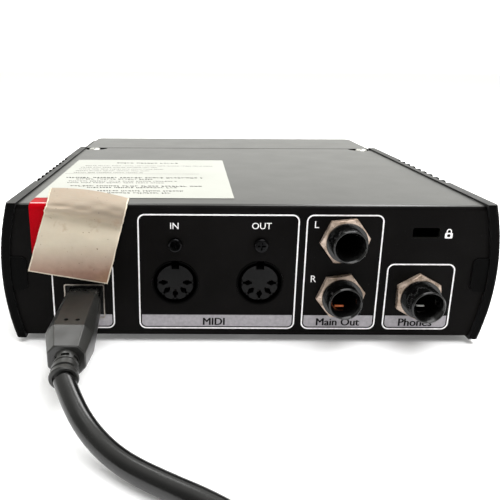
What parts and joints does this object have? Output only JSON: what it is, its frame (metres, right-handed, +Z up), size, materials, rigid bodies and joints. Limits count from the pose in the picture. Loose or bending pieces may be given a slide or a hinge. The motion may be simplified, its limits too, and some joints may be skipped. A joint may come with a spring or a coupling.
{
  "type": "audio interface",
  "caption": "Small desktop USB audio interface: folded steel case between bowed black end cheeks, MIDI, output and phones sockets behind, knobs and mic sockets in front, USB cable plugged in.",
  "frame": {"origin": "under the middle of the unit, on the surface that its feet stand on", "axes": "+Z up, +Y towards the connector panel, -Y towards the controls, X across the width"},
  "size_m": [0.1464, 0.3035, 0.0464],
  "materials": {
    "cover_paint": "satin dark grey powder coat",
    "tray_paint": "satin black",
    "panel_paint": "satin black",
    "cheek_plastic": "fine matt grain",
    "screw_steel": "zinc plated",
    "screw_black": "black oxide",
    "foot_rubber": "matt",
    "board_green": "solder mask",
    "chip_black": "matt",
    "can_aluminium": "satin",
    "socket_steel": "tinned",
    "socket_plastic": "matt",
    "jack_plastic": "semi-gloss",
    "contact_metal": "plated",
    "nut_nickel": "warm nickel plate",
    "pot_steel": "satin",
    "led_lens": "frosted",
    "label_paper": "printed paper",
    "sticker_red": "glossy print",
    "tape_crepe": "creped paper",
    "plug_pvc": "matt moulded",
    "cord_pvc": "satin",
    "tie_nylon": "hook and loop",
    "latch_steel": "satin",
    "knob_plastic": "soft touch",
    "shaft_metal": "turned",
    "button_plastic": "satin"
  },
  "bodies": {
    "chassis": {"top_cover": "cover_paint", "front_hood": "cover_paint", "base_tray": "tray_paint", "front_panel": "panel_paint", "left_cheek": "cheek_plastic", "right_cheek": "cheek_plastic", "hood_screws": "screw_steel", "base_screws": "screw_steel", "cheek_screws": "screw_steel", "midi_screws": "screw_black", "rubber_feet": "foot_rubber", "main_board": "board_green", "front_board": "board_green", "board_standoffs": "screw_steel", "board_screws": "screw_steel", "board_chips": "chip_black", "board_capacitors": "can_aluminium", "usb_socket_shell": "socket_steel", "usb_socket_tongue": "socket_plastic", "midi_in_socket": "socket_plastic", "midi_out_socket": "socket_plastic", "midi_contacts": "contact_metal", "main_left_jack": "jack_plastic", "main_right_jack": "jack_plastic", "phones_jack": "jack_plastic", "jack_nuts": "nut_nickel", "jack_contacts": "contact_metal", "combo_contacts": "contact_metal", "pot_bodies": "pot_steel", "button_switches": "chip_black", "indicator_leds": "led_lens", "paper_label": "label_paper", "red_sticker": "sticker_red", "masking_tape": "tape_crepe", "combo_1_socket": "socket_plastic", "combo_2_socket": "socket_plastic"},
    "gain_1_control": {"gain_1_knob": "knob_plastic", "gain_1_shaft": "shaft_metal"},
    "gain_2_control": {"gain_2_knob": "knob_plastic", "gain_2_shaft": "shaft_metal"},
    "mix_control": {"mix_knob": "knob_plastic", "mix_shaft": "shaft_metal"},
    "phones_control": {"phones_knob": "knob_plastic", "phones_shaft": "shaft_metal"},
    "main_control": {"main_knob": "knob_plastic", "main_shaft": "shaft_metal"},
    "line_key": {"line_button": "button_plastic"},
    "phantom_key": {"phantom_button": "button_plastic"},
    "combo_1_release": {"combo_1_latch": "latch_steel"},
    "combo_2_release": {"combo_2_latch": "latch_steel"},
    "usb_cable": {"usb_plug_shell": "socket_steel", "usb_plug_body": "plug_pvc", "usb_plug_relief": "plug_pvc", "usb_cord": "cord_pvc", "usb_coil": "cord_pvc", "coil_tie": "tie_nylon", "usb_a_body": "plug_pvc", "usb_a_shell": "socket_steel"}
  },
  "joints": [
    {"name": "gain_1_turn", "type": "hinge", "parent": "chassis", "child": "gain_1_control", "pos_m": [0.001, -0.06575, 0.0305], "axis": [0, 1, 0], "range_deg": [-150, 150]},
    {"name": "gain_2_turn", "type": "hinge", "parent": "chassis", "child": "gain_2_control", "pos_m": [0.001, -0.06575, 0.0125], "axis": [0, 1, 0], "range_deg": [-150, 150]},
    {"name": "mix_turn", "type": "hinge", "parent": "chassis", "child": "mix_control", "pos_m": [0.025, -0.06575, 0.0305], "axis": [0, 1, 0], "range_deg": [-150, 150]},
    {"name": "phones_turn", "type": "hinge", "parent": "chassis", "child": "phones_control", "pos_m": [0.025, -0.06575, 0.0125], "axis": [0, 1, 0], "range_deg": [-150, 150]},
    {"name": "main_turn", "type": "hinge", "parent": "chassis", "child": "main_control", "pos_m": [0.05, -0.06575, 0.021], "axis": [0, 1, 0], "range_deg": [-150, 150]},
    {"name": "line_press", "type": "slide", "parent": "chassis", "child": "line_key", "axis": [0, 1, 0], "range_m": [0, 0.0015], "stiffness_N_per_m": 400, "springref_m": -0.001},
    {"name": "phantom_press", "type": "slide", "parent": "chassis", "child": "phantom_key", "axis": [0, 1, 0], "range_m": [0, 0.0015], "stiffness_N_per_m": 400, "springref_m": -0.001},
    {"name": "combo_1_push", "type": "slide", "parent": "chassis", "child": "combo_1_release", "axis": [0, 1, 0], "range_m": [0, 0.0012], "stiffness_N_per_m": 400, "springref_m": -0.001},
    {"name": "combo_2_push", "type": "slide", "parent": "chassis", "child": "combo_2_release", "axis": [0, 1, 0], "range_m": [0, 0.0012], "stiffness_N_per_m": 400, "springref_m": -0.001},
    {"name": "usb_unplug", "type": "slide", "parent": "chassis", "child": "usb_cable", "axis": [0, 1, 0], "range_m": [0, 0.012]}
  ]
}
